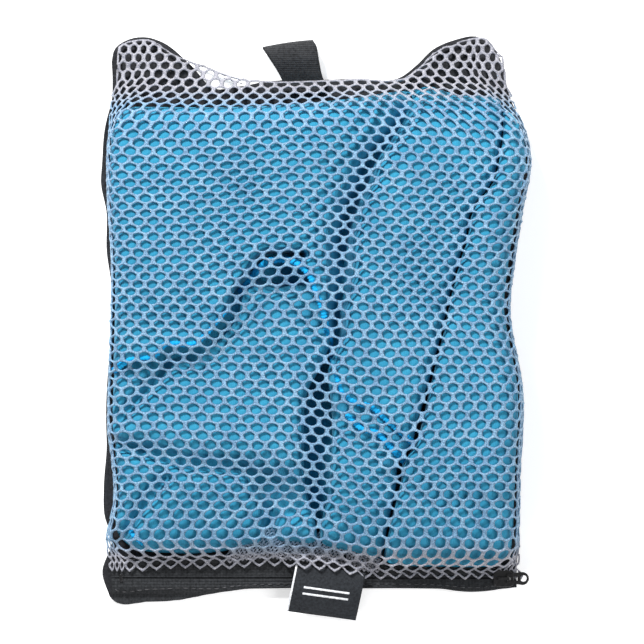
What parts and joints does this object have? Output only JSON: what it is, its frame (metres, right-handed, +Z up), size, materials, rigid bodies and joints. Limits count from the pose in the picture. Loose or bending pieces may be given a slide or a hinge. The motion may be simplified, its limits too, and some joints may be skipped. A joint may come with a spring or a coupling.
{
  "type": "quick dry towel in pouch",
  "caption": "Folded microfibre travel towel in a flat zipped pouch with a knitted net front, hang loop and woven label.",
  "frame": {"origin": "underside of the back panel, level with the middle of the pouch's width and 97 mm below its top seam", "axes": "+Z up out of the back panel towards the net, +Y from the zip to the hang loop, +X to the right seen from the net side, towards the zip's closed end"},
  "size_m": [0.17, 0.2334, 0.033],
  "materials": {
    "back_fabric": "plain woven polyester, matt",
    "mesh_yarn": "knitted polyester net, slightly lustrous",
    "dark_thread": "spun sewing thread",
    "grey_thread": "spun sewing thread",
    "zip_tape": "ribbed woven zip tape",
    "zip_coil": "nylon coil",
    "zip_metal": "black lacquer",
    "slider_lacquer": "glossy black lacquer",
    "loop_webbing": "herringbone tape",
    "label_cloth": "damask woven label",
    "label_weft": "damask woven label, light weft",
    "towel_cloth": "brushed microfibre",
    "towel_trim": "overlocked edge yarn"
  },
  "bodies": {
    "pouch": {"back_panel": "back_fabric", "back_panel_hem": "back_fabric", "front_mesh_panel": "mesh_yarn", "seam_stitching_left": "dark_thread", "seam_stitching_right": "dark_thread", "seam_stitching_top": "dark_thread", "zip_tape_front": "zip_tape", "zip_tape_back": "zip_tape", "zip_coil_front": "zip_coil", "zip_coil_back": "zip_coil", "zip_stop_closed_end": "zip_metal", "zip_stop_open_end": "zip_metal", "zip_stitching_front": "grey_thread", "zip_stitching_back": "grey_thread", "hang_loop_root": "loop_webbing", "hang_loop_bartack": "dark_thread", "label_root": "label_cloth", "label_stitching": "dark_thread"},
    "zip_slider": {"slider_body": "slider_lacquer", "slider_bridge": "slider_lacquer"},
    "zip_pull": {"pull_tab": "slider_lacquer"},
    "hang_loop": {"hang_loop_tape": "loop_webbing"},
    "label": {"label_leaf": "label_cloth", "label_woven_mark": "label_weft"},
    "towel": {"towel_folded_stack": "towel_cloth", "towel_side_fold": "towel_cloth", "towel_hem_edging_upper": "towel_trim", "towel_hem_edging_lower": "towel_trim"}
  },
  "joints": [
    {"name": "zip_slide", "type": "slide", "parent": "pouch", "child": "zip_slider", "axis": [-1, 0, 0], "range_m": [0, 0.148]},
    {"name": "pull_flip", "type": "hinge", "parent": "zip_slider", "child": "zip_pull", "pos_m": [0.0769, -0.103, 0.00643], "axis": [0, -1, 0], "range_deg": [0, 170]},
    {"name": "hang_loop_fold", "type": "hinge", "parent": "pouch", "child": "hang_loop", "pos_m": [-0.005, 0.097, 0.0023], "axis": [1, 0, 0], "range_deg": [0, 80]},
    {"name": "label_flip", "type": "hinge", "parent": "pouch", "child": "label", "pos_m": [0.005, -0.0986, 0.00995], "axis": [-1, 0, 0], "range_deg": [0, 80]},
    {"name": "towel_slide", "type": "slide", "parent": "pouch", "child": "towel", "axis": [0, -1, 0], "range_m": [0, 0.24], "deforming": ["towel_folded_stack", "towel_side_fold", "towel_hem_edging_upper", "towel_hem_edging_lower"]}
  ]
}
